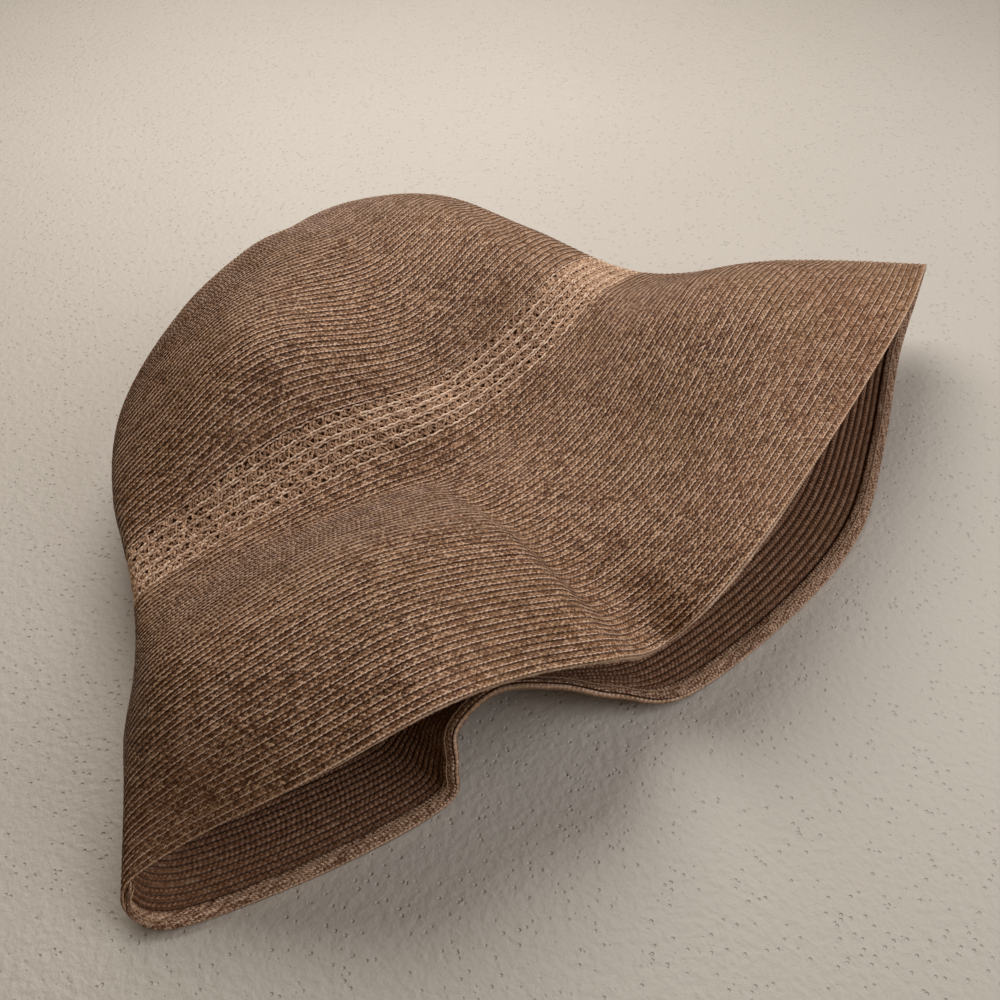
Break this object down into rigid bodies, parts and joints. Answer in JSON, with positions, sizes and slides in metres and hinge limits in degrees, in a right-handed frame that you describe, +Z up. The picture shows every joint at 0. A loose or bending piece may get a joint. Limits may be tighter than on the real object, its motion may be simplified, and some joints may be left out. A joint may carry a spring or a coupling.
{
  "type": "straw sun hat",
  "caption": "Soft sewn-braid sun hat with a domed crown, an openwork band and a wide drooping brim, lying collapsed on its side.",
  "frame": {"origin": "middle of the footprint on the table the hat lies on", "axes": "+Z up from the table, +Y towards the tip of the crown, -Y out of the head opening, +X across the hat to its right as seen when looking along +Y"},
  "size_m": [0.4254, 0.2798, 0.0859],
  "materials": {
    "straw_braid": "matt brown paper-straw braid with a fine crosswise weave, sewn in overlapping rows",
    "lace_braid": "openwork braid of lighter zigzag strands with gaps between them",
    "facing_braid": "one full width of the braid, sewn flat under the edge of the brim",
    "grosgrain": "dark brown ribbed ribbon",
    "sewing_thread": "light brown machine stitching",
    "label_tape": "plain pale woven tape with nothing printed on it"
  },
  "bodies": {
    "root": {"crown_button": "straw_braid", "crown_tip_braid": "straw_braid", "crown_turn_braid": "straw_braid", "crown_side_braid": "straw_braid", "lace_course_1": "lace_braid", "lace_course_2": "lace_braid", "lace_course_3": "lace_braid", "lace_course_4": "lace_braid", "lace_course_5": "lace_braid", "brim_inner_braid": "straw_braid", "brim_middle_braid": "straw_braid", "brim_outer_braid": "straw_braid", "edge_facing_braid": "facing_braid", "facing_seam_thread": "sewing_thread", "sweatband": "grosgrain", "sweatband_seam_thread": "sewing_thread", "sweatband_join_tab": "grosgrain", "blank_label": "label_tape"}
  },
  "joints": []
}
